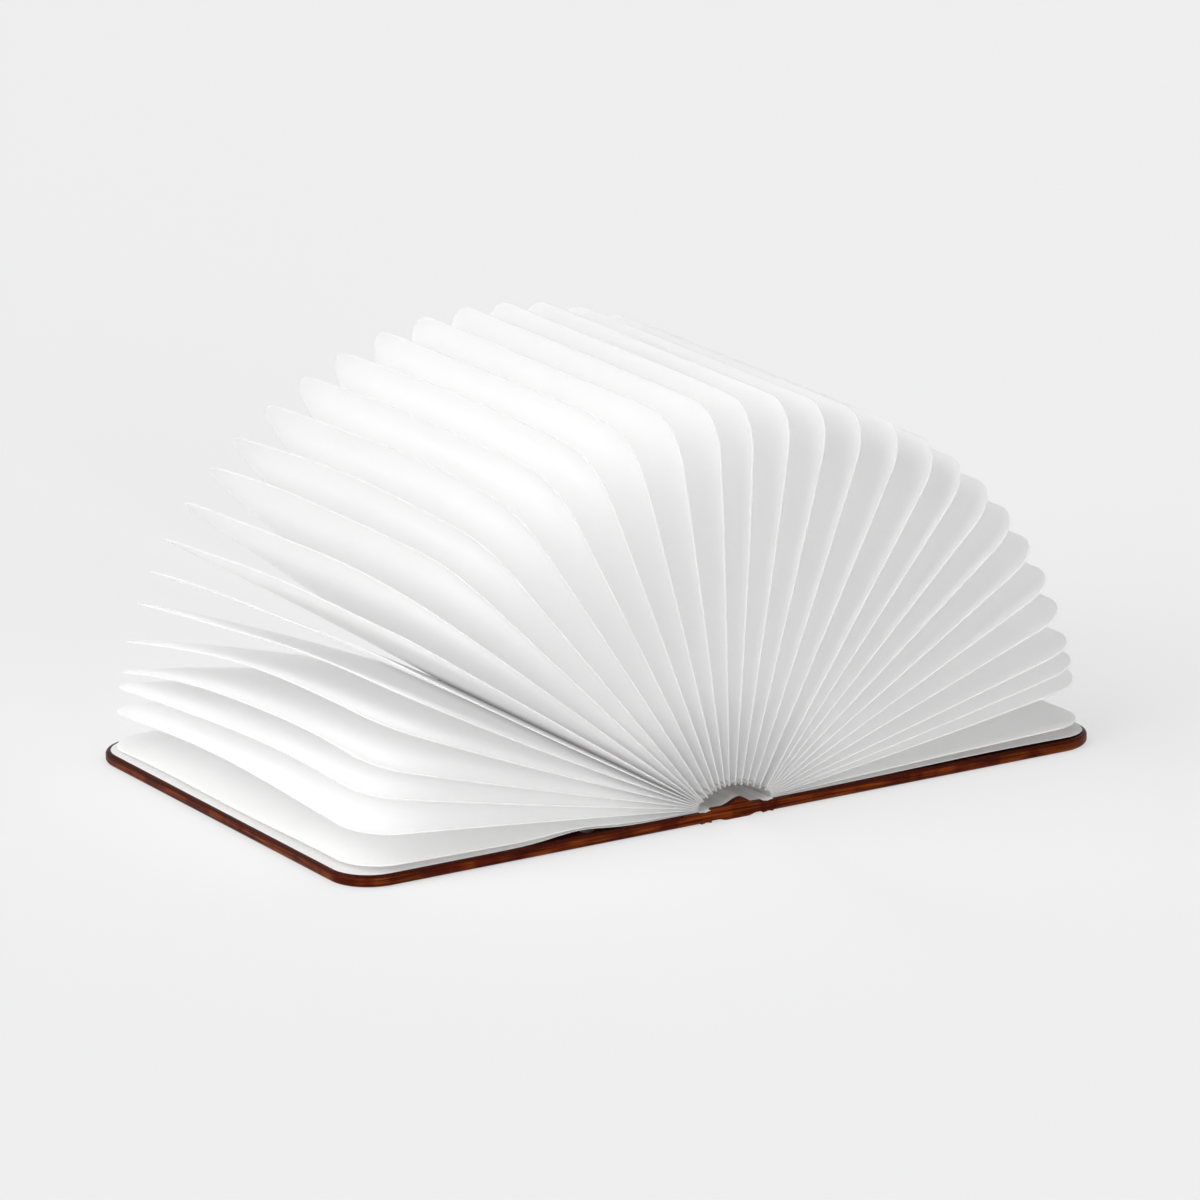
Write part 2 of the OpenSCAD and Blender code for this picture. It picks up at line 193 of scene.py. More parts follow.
# %% [markdown]
# ## Wood and leather
# The covers are thin boards with a dark red-brown stain under a thin lacquer. The
# narrow edges show the layers of the board as streaks that run round the rim, and a
# broad noise lets redder and more golden stretches alternate. The inner arris, which
# faces up and lies in shade, gets a nearly black painted shade, and the outer face
# shows long grain. The board could be given three materials by face, but its CAD mesh
# stays as it is, so one material asks which way the surface looks and picks the rim,
# the painted shade on the inside, or the outside. The leather of the joints is dyed
# to match and takes the same colours, painted shade included.

# %% Stained wood and dyed leather
# Sizes in mm, with how far each noise is drawn out along X, Y and Z. The streaks are
# drawn coarser than real grain, so that they show from this far away.
GRAIN = dict(size_mm=1.6, stretch=(1, 22, 1), detail=5.0)
STREAKS = dict(size_mm=0.9, stretch=(30, 30, 0.9), detail=4.0)
STRETCHES = dict(size_mm=13.0, stretch=(1, 1, 4), detail=2.0)
# Height component of the normal at which the rim gives way to the two faces: the painted shade
# inside and the grain outside.
PAINTED_SHADE_FROM, PAINTED_SHADE_WHOLE = 0.25, 0.6
OUTSIDE_FROM, OUTSIDE_WHOLE = -0.6, -0.9


def stain_and_painted_shade(name, rough, bump_mm, **sockets):
    """Red-brown stain: streaks on the rim, a painted shade on the upward-facing inner arris, long
    grain outside.
    """
    made, tree, shader = blank(name, **sockets)
    grain, streaks = pattern(tree, **GRAIN), pattern(tree, **STREAKS)
    red = between(tree, streaks, "#300b03", "#581904", 0.36, 0.62)
    golden = between(tree, streaks, "#3c1105", "#8c3f0d", 0.38, 0.68)
    rim = between(tree, pattern(tree, **STRETCHES), red, golden, 0.42, 0.58)
    normal = add(tree, "ShaderNodeTexCoord").outputs["Normal"]
    facing = add(tree, "ShaderNodeSeparateXYZ", {0: normal}).outputs["Z"]
    # Painted shade: surfaces that face up, the inner arris, are made nearly black because they lie
    # in shade.
    painted_shade_colour = between(tree, grain, "#260802", "#481505")
    grained = between(tree, grain, "#380f05", "#6a2a0c")
    colour = between(tree, facing, rim, painted_shade_colour, PAINTED_SHADE_FROM, PAINTED_SHADE_WHOLE)
    colour = between(tree, facing, colour, grained, OUTSIDE_FROM, OUTSIDE_WHOLE)
    surface(tree, shader, colour, grain, rough, bump_mm)
    return made


# Stained and lacquered veneer: a deep colour with a soft, low gloss.
WOOD = stain_and_painted_shade("red_brown_stained_wood", (0.38, 0.28), 0.02, Specular_IOR_Level=0.05)
# Aniline-dyed leather: the same colour and the same painted shade where it faces up, rougher, so
# the joints look matt beside the wood.
LEATHER = stain_and_painted_shade("dyed_joint_leather", (0.55, 0.45), 0.05, Specular_IOR_Level=0.06)
print("stained finishes:", WOOD.name, LEATHER.name)

# %% [markdown]
# ## Paper
# The leaves are white spun-fibre paper: matt, tear-proof, with a cloudy pattern of
# fibres. Light soaks through many leaves in turn. Full path tracing could follow
# it, but that needs far more bounces than a render has time for. So subsurface
# scattering softens each sheet, and a faint painted glow, though the paper is no
# lamp, stands for the light that seeps on. The glow is painted weaker, as painted
# shade, where the roots lie tight together, and a little weaker towards the right,
# as painted light, because the light comes from the left.

# %% Spun paper
PAPER = finish("white_fibre_paper", "#faf9f9", "#fefefe", 1.5, (0.72, 0.84), 0.012, detail=5.0,
               Subsurface_Weight=1.0, Subsurface_Scale=3.0 * MM, Subsurface_Radius=(1.0, 1.0, 1.0),
               Specular_IOR_Level=0.2, Emission_Color=(1.0, 1.0, 1.0, 1.0))
# Painted glow, though the paper is no lamp: weaker at the roots as painted shade, stronger on the
# left as painted light.
PAINTED_GLOW_AT_ROOTS, PAINTED_GLOW_OUTSIDE = 0.028, 0.098
ROOTS_END, OUTSIDE_BEGINS = 17 * MM, 55 * MM
PAINTED_LIGHT_LEFT, PAINTED_LIGHT_RIGHT, SIDE_REACH = 1.02, 0.78, 60 * MM

paper = PAPER.node_tree
across_spine = add(paper, "ShaderNodeMapping", {
    "Vector": add(paper, "ShaderNodeTexCoord").outputs["Object"], "Scale": (1.0, 0.0, 1.0)})
from_axis = add(paper, "ShaderNodeVectorMath", {0: across_spine.outputs["Vector"]},
                operation="LENGTH").outputs["Value"]
sideways = add(paper, "ShaderNodeSeparateXYZ", {0: across_spine.outputs["Vector"]}).outputs["X"]
# The painted glow: painted shade near the roots times painted light that falls off towards the
# right.
painted_glow = add(paper, "ShaderNodeMath", {
    0: between(paper, from_axis, PAINTED_GLOW_AT_ROOTS, PAINTED_GLOW_OUTSIDE, ROOTS_END, OUTSIDE_BEGINS),
    1: between(paper, sideways, PAINTED_LIGHT_LEFT, PAINTED_LIGHT_RIGHT, -SIDE_REACH, SIDE_REACH)},
    operation="MULTIPLY").outputs[0]
paper.links.new(painted_glow, paper.nodes["Principled BSDF"].inputs["Emission Strength"])
print("nodes in the paper:", len(paper.nodes))

# %% [markdown]
# ## Lining, light bar and electrics
# What the spine holds is hardly ever seen, but each part gets the finish that its
# real one has, so that the lamp looks right when it is taken apart or closed. One
# noise each is enough: these parts are small and evenly made.

# %% Finishes of the smaller parts
# Pasted lining paper: the same stock, a little smoother where the paste filled it.
LINING = finish("pasted_lining_paper", "#f4f3f1", "#fafaf9", 2.2, (0.62, 0.75), 0.015,
                Specular_IOR_Level=0.2)
# Milky acrylic: even and white, with the faint ripple that extrusion leaves.
ACRYLIC = finish("milky_acrylic", "#dedcd8", "#eceae6", 3.0, (0.30, 0.42), 0.01, (1, 12, 1))
# Rolled aluminium: fine lines along the rolling direction, drawn coarse enough to show.
ALUMINIUM = finish("rolled_aluminium", "#b9bbbe", "#d3d5d8", 0.25, (0.28, 0.4), 0.004, (1, 60, 1),
                   Metallic=1.0)
# White solder mask: a printed resin skin, satin and nearly even.
WHITE_MASK = finish("white_solder_mask", "#dfe1e0", "#f0f1f0", 1.0, (0.4, 0.5), 0.01)
# Phosphor in silicone: a wet-looking yellow dot on each light chip.
PHOSPHOR = finish("yellow_phosphor_gel", "#e6c45a", "#f2d77c", 0.5, (0.15, 0.25), 0.01)
# Aluminium-laminate pouch of a flat cell: dull silver with the dents of its pressing.
POUCH = finish("crimped_foil_pouch", "#8f9296", "#b4b7ba", 2.0, (0.25, 0.4), 0.08, Metallic=1.0)
# PVC sleeve of a hook-up wire: an even, slightly shiny red.
PVC = finish("red_pvc_sleeve", "#8e1410", "#b3221a", 0.6, (0.4, 0.5), 0.01)
# Green solder mask over glass cloth: glossy, with the weave just showing as mottling.
GREEN_MASK = finish("green_solder_mask", "#0f4a2a", "#1b6a3d", 0.8, (0.25, 0.35), 0.015)
# Zinc-plated steel: bright and cool, a little grainy from the bath.
STEEL = finish("zinc_plated_steel", "#a7a9ab", "#c9cbcd", 0.2, (0.22, 0.34), 0.004, Metallic=1.0)
# Moulded epoxy: charcoal black with the fine grit of its mould.
EPOXY = finish("moulded_black_epoxy", "#121212", "#1e1e1f", 0.2, (0.5, 0.62), 0.006)
# Nickel plate on a magnet: warmer than zinc and nearly a mirror.
NICKEL = finish("nickel_plate", "#bdb9b0", "#d8d4cb", 0.4, (0.12, 0.2), 0.003, Metallic=1.0)
print("materials, with those of the CAD frame:", len(bpy.data.materials))

# %% [markdown]
# ## Dressing the CAD nodes
# The rigid parts keep the meshes of the CAD source, because their shapes are right.
# Only their material slots are filled, so nothing moves and every joint still fits.

# %% Finishes onto the CAD nodes
NODE_FINISHES = {
    WOOD: ["spine_board", "front_end_cap", "rear_end_cap", "left_cover_board", "right_cover_board"],
    ACRYLIC: ["diffuser"],
    ALUMINIUM: ["reflector_plate"],
    WHITE_MASK: ["led_board"],
    PHOSPHOR: ["led_chips"],
    POUCH: ["battery_cells"],
    PVC: ["wiring"],
    GREEN_MASK: ["control_board"],
    STEEL: ["control_board_screws", "charging_socket"],
    EPOXY: ["hall_sensor"],
    NICKEL: ["left_magnets", "left_switch_magnet", "right_magnets"],
}
for coat, names in NODE_FINISHES.items():
    for node_name in names:
        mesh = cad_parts[node_name].data
        mesh.materials.clear()
        mesh.materials.append(coat)
print("finished CAD nodes:", sum(len(names) for names in NODE_FINISHES.values()))

# %% [markdown]
# ## Where the leaves stand
# The fan is the same as in the CAD source: each leaf has an angle and a root. The
# angles are even steps from the middle leaf, with a sag that grows towards both
# covers, and a few leaves cling to a neighbour. The outer roots lie stacked round
# the hinge lines and the middle roots stand on an arch over the light bar. The
# places could be read off the CAD meshes, but the formulas are short, and whole
# arrays hold all 33 leaves at once.

# %% Angles of the leaves
COUNT, MIDDLE = 33, 17
LEAN, STEP, LEFT_SAG, RIGHT_SAG = 0.6, 5.37, 6.5, 6.6
CLING = {1: 1.05, 8: 0.55, 9: 0.55, 5: -0.55, 6: -0.55, 30: -0.55, 32: 1.05}

number = np.arange(1, COUNT + 1)
on_right = number > MIDDLE
share = np.abs(number - MIDDLE) / (COUNT + 1) * 2
sag = np.where(on_right, -RIGHT_SAG * np.sin(np.pi * share ** 2), LEFT_SAG * np.sin(np.pi * share))
cling = np.array([CLING.get(int(k), 0.0) for k in number])
angle = np.radians(90 + LEAN + STEP * (MIDDLE - number) + sag + cling)
along = np.column_stack([np.cos(angle), np.sin(angle)])
across = np.column_stack([-np.sin(angle), np.cos(angle)])
print("leaf angles:", np.round(np.degrees(angle), 1).tolist())

# %% Roots of the leaves
# All in mm. A stacked root keeps its distance from the hinge line as the cover turns.
STACKED = 11
HINGE_X, BOARD_T = 17.0, 4.75
STACK_BASE, STACK_PITCH, ROOT_SHIFT = 0.45, 0.38, 0.15
CROWN_X, CROWN_RISE = -2.4, 8.4

side = np.where(on_right, 1.0, -1.0)
order = np.where(on_right, COUNT - number, number - 1)
hinge = np.column_stack([side * HINGE_X, np.full(COUNT, BOARD_T)])
stacked_root = (hinge + (side * (STACK_BASE + order * STACK_PITCH))[:, None] * across
                + (ROOT_SHIFT * order)[:, None] * along)
foot = np.where(on_right[:, None], stacked_root[COUNT - STACKED], stacked_root[STACKED - 1])
arch = (np.abs(number - MIDDLE) / (MIDDLE - STACKED))[:, None]
crown = np.array([CROWN_X, BOARD_T + CROWN_RISE])
arch_root = np.column_stack([crown[0] + (foot[:, :1] - crown[0]) * arch,
                             crown[1] + (foot[:, 1:] - crown[1]) * arch ** 2])
root = np.where((order < STACKED)[:, None], stacked_root, arch_root)
print("root of the middle leaf in mm:", np.round(root[MIDDLE - 1], 2).tolist())

# %% [markdown]
# ## From a grid to a sheet
# Every sheet of paper here starts as a grid of points over two parameters. It could
# be a subdivided plane pushed about by hand, but an array gives the same sheet each
# time and can be read as a formula. Two modifiers then finish it: Solidify gives
# the thickness, thin where the weights say so, and Bevel rounds the cut edges so
# that they catch the light.

# %% Helpers for sheets
EVEN_EDGE, FINE_EDGE = 0.14, 0.04


def grid_mesh(name, x, y, z, finish_used):
    """Object from three arrays of coordinates in mm, which spread out to one grid."""
    points = np.stack(np.broadcast_arrays(x, y, z), -1)
    rows, columns = points.shape[:2]
    index = np.arange(rows * columns).reshape(rows, columns)
    quads = np.stack([index[:-1, :-1], index[1:, :-1], index[1:, 1:], index[:-1, 1:]], -1)
    mesh = bpy.data.meshes.new(name)
    mesh.from_pydata((points.reshape(-1, 3) * MM).tolist(), [], quads.reshape(-1, 4).tolist())
    mesh.materials.append(finish_used)
    mesh.shade_smooth()
    return put(name, mesh)


def thicken(piece, thickness_mm, edge_mm, thin_share=1.0, weights=None):
    """Solidify and Bevel; weights run from 0, where the sheet is thin, to 1."""
    shell = piece.modifiers.new("thickness", "SOLIDIFY")
    shell.thickness, shell.offset = thickness_mm * MM, 0.0
    if weights is not None:
        group = piece.vertex_groups.new(name="thickness")
        rounded = np.round(weights, 3)
        for weight in np.unique(rounded):
            group.add(np.flatnonzero(rounded == weight).tolist(), float(weight), "REPLACE")
        shell.vertex_group, shell.thickness_vertex_group = "thickness", thin_share
    rim = piece.modifiers.new("cut_edge", "BEVEL")
    rim.width, rim.segments, rim.limit_method = edge_mm * MM, 2, "ANGLE"
    rim.harden_normals = True


def hill(value, centre, width):
    """Smooth bump of height 1: e to the power minus the squared distance in widths."""
    return np.exp(-((value - centre) / width) ** 2)


print("edges are rounded by", EVEN_EDGE, "mm on leaves and", FINE_EDGE, "mm on single sheets")

# %% [markdown]
# ## The outline of a sheet
# Leaves and linings are the same shape: a rectangle whose two outer corners are
# rounded. The rows run out from the root, and near each end of the spine the reach
# of a row follows a quarter circle, so the grid needs no trimming.

# %% Outline
LEAF_LEN, LEAF_CORNER, LEAF_ROWS, LEAF_STEPS = 154.0, 18.0, 24, 22
PAPER_NEAR, PAPER_FAR = -105.6, 105.0
CORNER_ROWS = 9


def rounded_outline(length, corner, middle_rows):
    """Places of the rows along the spine, and how far each reaches: the length, less
    the corner times (1 - sine) on a quarter turn while the row moves by (1 - cosine)."""
    turn = np.linspace(0, np.pi / 2, CORNER_ROWS)
    near = PAPER_NEAR + corner * (1 - np.cos(turn))
    far = PAPER_FAR - corner * (1 - np.cos(turn[::-1]))
    rows = np.concatenate([near, np.linspace(near[-1], far[0], middle_rows)[1:-1], far])
    reach = np.full(rows.size, length)
    reach[:CORNER_ROWS] = length - corner * (1 - np.sin(turn))
    reach[-CORNER_ROWS:] = length - corner * (1 - np.sin(turn[::-1]))
    return rows[:, None], reach[:, None]


leaf_y, leaf_reach = rounded_outline(LEAF_LEN, LEAF_CORNER, LEAF_ROWS)
leaf_out = leaf_reach * np.linspace(0, 1, LEAF_STEPS)
print("leaf grid:", leaf_out.shape)

# %% [markdown]
# ## Bowed leaves
# Real leaves don't stand flat. They hang a little under their own weight, those in
# the middle curl at their near corner, and the lower ones on the left droop at their
# far end. A cloth simulation could find such a shape, but the photograph shows a
# certain one, and a formula with a few terms can be set to it leaf by leaf.

# %% Bow of a leaf
LIFT, LIFT_AT, LIFT_WIDE = 2.2, 55, 16
LEAF_OVER_LIFT, LIFT_FROM, LIFT_RUN = 0.8, 76, 30
WAVE, WAVE_LENGTH, WAVE_PHASE = 0.35, 23, 2.1
CURL, CURL_FROM, CURL_RUN, CURL_LEAVES = 2.0, 55, 50, 5
# Hills over the leaf number: height in mm, and centre and width in leaves.
LEVEL_HILL, SLOPE_HILL = (3, 7.4, 1.7), (7.5, 5.2, 2.2)
CURVE_HILLS = [(5, 4.4, 0.8), (-2, 7.3, 1.5)]
LEFT_LEVEL, LEFT_SLOPE, LEFT_CURVE, FADING_LEAVES = -3, 1.2, 4, 5
LOWEST_LEFT = {1: (1.0, 0.8, 0.6), 2: (-1.9, 0.4, 4.0)}
LOWEST_RIGHT_LEVEL = {31: 3.0, 32: 3.3, 33: -2.4}
RIGHT_SLOPE, RIGHT_CURVE = -0.4, 0.3


def towards_near(y, begins, run):
    """0 up to where it begins on the near half, then a parabola that is 1 after the run."""
    return np.clip((-y - begins) / run, 0, 1) ** 2


def lean(k):
    """Level, slope and curve of leaf k along the spine, in mm at the fore-edge. On the left
    each is a value plus hills over the leaf number; the values fade out at the middle leaf."""
    if k in LOWEST_LEFT:
        return LOWEST_LEFT[k]
    if k > MIDDLE:
        return LOWEST_RIGHT_LEVEL.get(k, 0.0), RIGHT_SLOPE, RIGHT_CURVE
    fade = min(1.0, (MIDDLE - k) / FADING_LEAVES)
    raised, tilted, *curved = (height * hill(k, centre, width)
                               for height, centre, width in (LEVEL_HILL, SLOPE_HILL, *CURVE_HILLS))
    return (LEFT_LEVEL + raised) * fade, LEFT_SLOPE * fade + tilted, LEFT_CURVE * fade + sum(curved)


def bow(k):
    """How far leaf k leans out of its own plane, in mm, towards the left cover: a parabola
    along the spine times the square of the reach, plus a slow wave and a curled corner.
    Leaf 1 makes room for the lining that has come away under it."""
    t, out = leaf_y / PAPER_FAR, leaf_out / LEAF_LEN
    level, slope, curve = lean(k)
    bowed = (level + slope * t + curve * t ** 2) * out ** 2
    wave = WAVE * np.sin(leaf_y / WAVE_LENGTH + WAVE_PHASE * k) * out ** 3
    curl = (CURL * hill(k, MIDDLE, CURL_LEAVES)
            * towards_near(leaf_y, CURL_FROM, CURL_RUN) * out ** 4)
    if k == 1:
        wave = wave - (LIFT * LEAF_OVER_LIFT * hill(leaf_out, LIFT_AT, LIFT_WIDE)
                       * towards_near(leaf_y, LIFT_FROM, LIFT_RUN))
    return bowed + wave + curl


print("largest bow in mm:", round(max(float(np.abs(bow(k)).max()) for k in number), 1))

# %% [markdown]
# ## Making the leaves
# Each leaf is two layers folded at the fore-edge, so it is thin at the root and full
# at the fold. It rides on its own body.

# %% Leaves
ROOT_T, FOLD_T, PAPER_T = 0.32, 0.62, 0.13


def part_of_leaf(piece, k, node_name):
    """Rides on leaf k and stands for a CAD node, which it hides."""
    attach(piece, f"leaf_{k:02d}_body")
    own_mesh(piece)
    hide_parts(node_name)


for k in range(1, COUNT + 1):
    here = root[k - 1] + leaf_out[..., None] * along[k - 1] + bow(k)[..., None] * across[k - 1]
    leaf = grid_mesh(f"bowed_leaf_{k:02d}", here[..., 0], leaf_y, here[..., 1], PAPER)
    thicken(leaf, FOLD_T, EVEN_EDGE, ROOT_T / FOLD_T, (leaf_out / LEAF_LEN).ravel())
    part_of_leaf(leaf, k, f"leaf_{k:02d}")
print("leaves:", COUNT)

# %% [markdown]
# ## Inner folds
# Between two standing leaves the paper turns back in a shallow valley, and the
# leaf's root hangs below it like a tooth. One strip for the whole arch would tear
# when the leaves turn, so each leaf carries its own half of the two valleys beside
# it: a path that runs down from the middle of the left valley, round the root and up
# again to the middle of the right one, carried along the spine.

# %% Path of an inner fold
FOLD_RISE, FOLD_DIP, ROOT_UNDER, UNDER_SHARE = 1.6, 0.7, -0.16, 0.5
SEAT = 0.05
first_fold, last_fold = STACKED, COUNT - STACKED + 1
# Where the strip lies along its leaf: how far off the leaf, and at which heights.
face = ROOT_T / 2 + SEAT + PAPER_T / 2
heights = (FOLD_RISE, 0.6 * FOLD_RISE, 0.1)


def on_leaf(k, out, off):
    """Point in the X-Z plane: out along leaf k and off its middle plane."""
    return root[k - 1] + out * along[k - 1] + off * across[k - 1]


def valley(k):
    """Bottom of the valley between leaf k and leaf k + 1, a little below their two faces."""
    middle = (on_leaf(k, FOLD_RISE, 0) + on_leaf(k + 1, FOLD_RISE, 0)) / 2
    up = along[k - 1] + along[k]
    return middle - FOLD_DIP * up / np.linalg.norm(up)


def fold_path(k):
    """Points of leaf k's strip from left to right. The outermost two have one half only."""
    path = [on_leaf(k, ROOT_UNDER, face * UNDER_SHARE), on_leaf(k, ROOT_UNDER, -face * UNDER_SHARE)]
    if k > first_fold:
        path = [valley(k - 1), *(on_leaf(k, out, face) for out in heights), *path]
    if k < last_fold:
        path = [*path, *(on_leaf(k, out, -face) for out in reversed(heights)), valley(k)]
    return np.array(path)


print("points across an inner fold:", len(fold_path(MIDDLE)))

# %% Inner folds
ALONG_FOLD = 25
fold_y = np.linspace(PAPER_NEAR, PAPER_FAR, ALONG_FOLD)[None]
for k in range(first_fold, last_fold + 1):
    path = fold_path(k)
    strip = grid_mesh(f"inner_fold_{k:02d}", path[:, :1], fold_y, path[:, 1:], PAPER)
    thicken(strip, PAPER_T, FINE_EDGE)
    part_of_leaf(strip, k, "inner_fold_strip")
print("inner folds:", last_fold - first_fold + 1)

# %% [markdown]
# ## Lining papers
# A lining sheet is pasted on the inside of each cover. Both have come away a little
# along their near edge: the right one along most of it, the left one only over one
# of the magnets. A sheet cut from the CAD solid would lie dead flat, so the linings
# are grids too, with a bump along that edge.

# %% Linings
LINING_START, LINING_LEN, LINING_CORNER = 0.2, 156.2, 16.2
LINING_ROWS, LINING_STEPS = 40, 48
PASTE_T = 0.01
LINING_Z = BOARD_T + PASTE_T + PAPER_T / 2
LINING_LIFT_FROM, LINING_LIFT_RUN = 78, 28
RIGHT_LIFT, RIGHT_LIFT_AT, RIGHT_LIFT_WIDE = 1.1, 110, 55


def lining(name, body, node_name, direction, lift_mm, lift_at, lift_wide):
    """A sheet with two rounded outer corners; lift is a bump along its near edge."""
    y, reach = rounded_outline(LINING_LEN, LINING_CORNER, LINING_ROWS)
    out = LINING_START + (reach - LINING_START) * np.linspace(0, 1, LINING_STEPS)
    lift = (lift_mm * hill(out, lift_at, lift_wide)
            * towards_near(y, LINING_LIFT_FROM, LINING_LIFT_RUN))
    sheet = grid_mesh(name, direction * (HINGE_X + out), y, LINING_Z + lift, LINING)
    thicken(sheet, PAPER_T, FINE_EDGE)
    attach(sheet, body)
    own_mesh(sheet)
    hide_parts(node_name)


lining("left_lining", "left_cover", "left_endpaper", -1, LIFT, LIFT_AT, LIFT_WIDE)
lining("right_lining", "right_cover", "right_endpaper", 1,
       RIGHT_LIFT, RIGHT_LIFT_AT, RIGHT_LIFT_WIDE)
print("linings stand up by", LIFT, "and", RIGHT_LIFT, "mm")

# %% [markdown]
# ## Leather hinges
# A strip of leather fills each joint between the spine and a cover, and a thin
# flange of it is let into the cover. It has to bend, so a solid from the CAD source
# can't show it closed. Its cross-section is a closed loop with many points across
# the joint, carried along the spine.

# %% Cross-section of the leather
JOINT_W, FLANGE_W, FLANGE_T, JOINT_GAP = 5.2, 7.7, 0.55, 0.15
GROOVE, GROOVE_WIDE, UNDER_GROOVE_WIDE, UNDERSIDE = 0.35, 1.0, 1.1, 0.12


def hinge_loop():
    """Loop of (x, z) seen from the hinge line, with the flange on the plus side. The top
    and the underside each have a groove, a hill turned over, in the middle of the joint."""
    top = BOARD_T - SEAT
    top_x = np.linspace(-JOINT_W + JOINT_GAP, FLANGE_W, 30)
    top_z = top - GROOVE * hill(top_x, -JOINT_W / 2, GROOVE_WIDE)
    flange_x = np.linspace(FLANGE_W, -JOINT_GAP, 8)
    flange_z = np.full(flange_x.size, top - FLANGE_T)
    under_x = np.linspace(-JOINT_GAP, -JOINT_W + JOINT_GAP, 24)
    under_z = UNDERSIDE + GROOVE * hill(under_x, -JOINT_W / 2, UNDER_GROOVE_WIDE)
    return np.column_stack([np.concatenate([top_x, flange_x, under_x]),
                            np.concatenate([top_z, flange_z, under_z])])


print("points in the leather's cross-section:", len(hinge_loop()))

# %% Leather hinges
COVER_HALF, SHARP_DEG, ALONG_HINGE = 107.5, 35, 60


def loop_mesh(name, loop, y_rows, finish_used):
    """Closed tube: a loop of (x, z) points carried along y, with its two ends filled."""
    points = np.stack(np.broadcast_arrays(loop[None, :, 0], y_rows[:, None], loop[None, :, 1]), -1)
    index = np.arange(y_rows.size * len(loop)).reshape(y_rows.size, len(loop))
    following = np.roll(index, -1, 1)
    quads = np.stack([index[:-1], following[:-1], following[1:], index[1:]], -1)
    caps = [index[0][::-1].tolist(), index[-1].tolist()]
    mesh = bpy.data.meshes.new(name)
    mesh.from_pydata((points.reshape(-1, 3) * MM).tolist(), [],
                     quads.reshape(-1, 4).tolist() + caps)
    mesh.materials.append(finish_used)
    mesh.shade_smooth()
    mesh.set_sharp_from_angle(angle=math.radians(SHARP_DEG))
    return put(name, mesh)


def bend_over_joint(strip):
    """Bakes the strip's placement into its mesh; the strip stays fixed and follows neither the
    spine nor the cover.
    """
    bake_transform(strip)


def leather_hinge(name, node_name, direction):
    """The loop at one hinge line; on the right it runs the other way, to face outwards."""
    loop = hinge_loop()
    loop = np.column_stack([direction * (HINGE_X + loop[:, 0]), loop[:, 1]])[::-direction]
    strip = loop_mesh(name, loop, np.linspace(-COVER_HALF, COVER_HALF, ALONG_HINGE), LEATHER)
    bend_over_joint(strip)
    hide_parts(node_name)


leather_hinge("left_hinge_strip", "left_hinge_leather", -1)
leather_hinge("right_hinge_strip", "right_hinge_leather", 1)
print("leather joints are", JOINT_W, "mm wide")

# %% [markdown]
# ## Paper over the joints
# The lining runs on over each joint to the spine, so a joint shows white from
# inside. A cover's lining rides on the cover alone, so this part of the sheet is a
# piece of its own, which dips into the groove of the leather under it.

# %% Joint papers
JOINT_PAPER_STEPS, JOINT_PAPER_SPARE = 20, 1.2
JOINT_PAPER_START, JOINT_PAPER_END, JOINT_PAPER_DIP = 0.2, 0.1, 0.3


def joint_paper(name, node_name, direction):
    """A narrow sheet along the joint, with a hill turned over for its dip."""
    out = np.linspace(-JOINT_W + JOINT_PAPER_START, JOINT_PAPER_END, JOINT_PAPER_STEPS)[None]
    y = np.linspace(PAPER_NEAR - JOINT_PAPER_SPARE, PAPER_FAR + JOINT_PAPER_SPARE, ALONG_HINGE)
    z = BOARD_T + SEAT - JOINT_PAPER_DIP * hill(out, -JOINT_W / 2, GROOVE_WIDE)
    strip = grid_mesh(name, direction * (HINGE_X + out), y[:, None], z, LINING)
    thicken(strip, PAPER_T, FINE_EDGE)
    bend_over_joint(strip)
    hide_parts(node_name)


joint_paper("left_joint_paper", "left_endpaper", -1)
joint_paper("right_joint_paper", "right_endpaper", 1)
print("joint papers end", JOINT_PAPER_SPARE, "mm beyond the linings")

# %% [markdown]
# ## Floor
# The lamp stands on pale card that runs out of sight. Lamps strong enough to make
# the card this pale would burn the paper white. So the card bounces light as white
# card does, but to the camera it shows only a share of its shading over a constant
# pale level: the shadow is there and stays soft, and no lamp has to be turned up.

# %% Floor
SHADED_COLOUR, CONSTANT_LEVEL = "#a8a8a8", 0.562
FLOOR_REACH, FLOOR_Z = 30, -0.2 * MM


def seen_directly(tree):
    """1 for rays from the camera, also where gloss reflects them or glass lets them through,
    and 0 for all others."""
    ray = add(tree, "ShaderNodeLightPath").outputs
    passed_on = add(tree, "ShaderNodeMath", {
        0: ray["Is Glossy Ray"], 1: ray["Is Transmission Ray"]}, operation="MAXIMUM").outputs[0]
    return add(tree, "ShaderNodeMath", {
        0: ray["Is Camera Ray"], 1: passed_on}, operation="MAXIMUM").outputs[0]


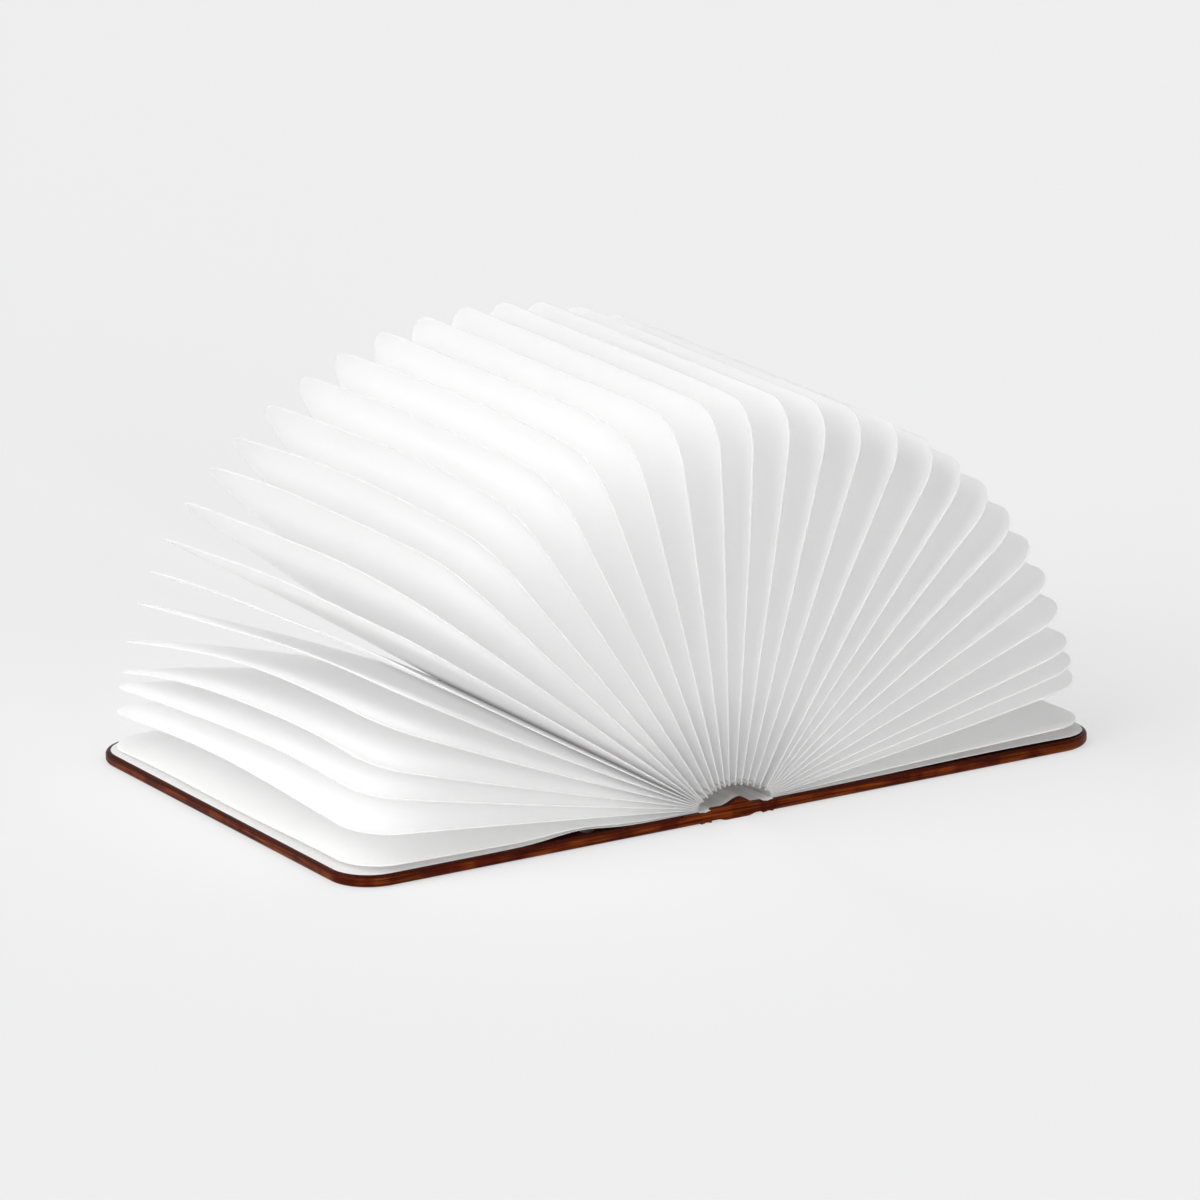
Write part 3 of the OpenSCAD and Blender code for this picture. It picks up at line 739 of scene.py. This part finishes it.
FLOOR, card, floor_shader = blank("pale_floor", Roughness=0.9, Specular_IOR_Level=0.0,
                                  Emission_Color=(1.0, 1.0, 1.0, 1.0))
seen = seen_directly(card)
card.links.new(between(card, seen, "#f9f9f9", SHADED_COLOUR, 0.0, 1.0),
               floor_shader.inputs["Base Color"])
card.links.new(between(card, seen, 0.0, CONSTANT_LEVEL, 0.0, 1.0),
               floor_shader.inputs["Emission Strength"])
floor_mesh = bpy.data.meshes.new("floor")
corners = [(-1, -1), (1, -1), (1, 1), (-1, 1)]
floor_mesh.from_pydata([(x * FLOOR_REACH, y * FLOOR_REACH, FLOOR_Z) for x, y in corners], [],
                       [(0, 1, 2, 3)])
floor_mesh.materials.append(FLOOR)
floor = put("floor", floor_mesh)
print("floor reaches", FLOOR_REACH, "m each way")

# %% [markdown]
# ## World
# The world gives a little light from everywhere, as the walls of a studio do. A
# backdrop behind the book would need lamps of its own. The rays that the camera
# sends see a pale grey in place of the world's light, and that is the background.

# %% World
AMBIENT_STRENGTH = 0.2

world = bpy.data.worlds.new("studio")
bpy.context.scene.world = world
world.use_nodes = True
sky = world.node_tree
sky.nodes.clear()
ambient = add(sky, "ShaderNodeBackground",
              {"Color": linear("#ffffff"), "Strength": AMBIENT_STRENGTH})
backdrop = add(sky, "ShaderNodeBackground", {"Color": linear("#f1f1f1"), "Strength": 1.0})
both = add(sky, "ShaderNodeMixShader",
           {0: seen_directly(sky), 1: ambient.outputs[0], 2: backdrop.outputs[0]})
add(sky, "ShaderNodeOutputWorld", {0: both.outputs[0]})
print("light from everywhere:", AMBIENT_STRENGTH)

# %% [markdown]
# ## Lamps
# Three soft lamps light the book evenly, at a level where a colour renders about as
# it is written. The key comes from the left, so the right faces of the leaves are in
# shade and their order can be read. A weak one from above fills the fan, and one
# from the front catches the near edges of the leaves. Area lamps would fall off
# across the book. Suns don't, and their angle still makes the shadows soft.

# %% Lamps
LAMP_DISTANCE = 3


def lamp(name, towards, softness_deg, strength):
    """A sun that shines from the given direction; its angle softens the shadows."""
    data = bpy.data.lights.new(name, "SUN")
    data.angle, data.energy = math.radians(softness_deg), strength
    made = put(name, data)
    made.location = Vector(towards) * LAMP_DISTANCE
    made.rotation_mode = "QUATERNION"
    made.rotation_quaternion = Vector(towards).to_track_quat("Z", "Y")


lamp("key", towards=(-0.78, 0.06, 0.58), softness_deg=60, strength=1.95)
lamp("top", towards=(0.1, 0.1, 1.0), softness_deg=60, strength=0.42)
lamp("front", towards=(-0.08, -1.0, 0.1), softness_deg=30, strength=1.6)
print("lamps:", [data.name for data in bpy.data.lights])
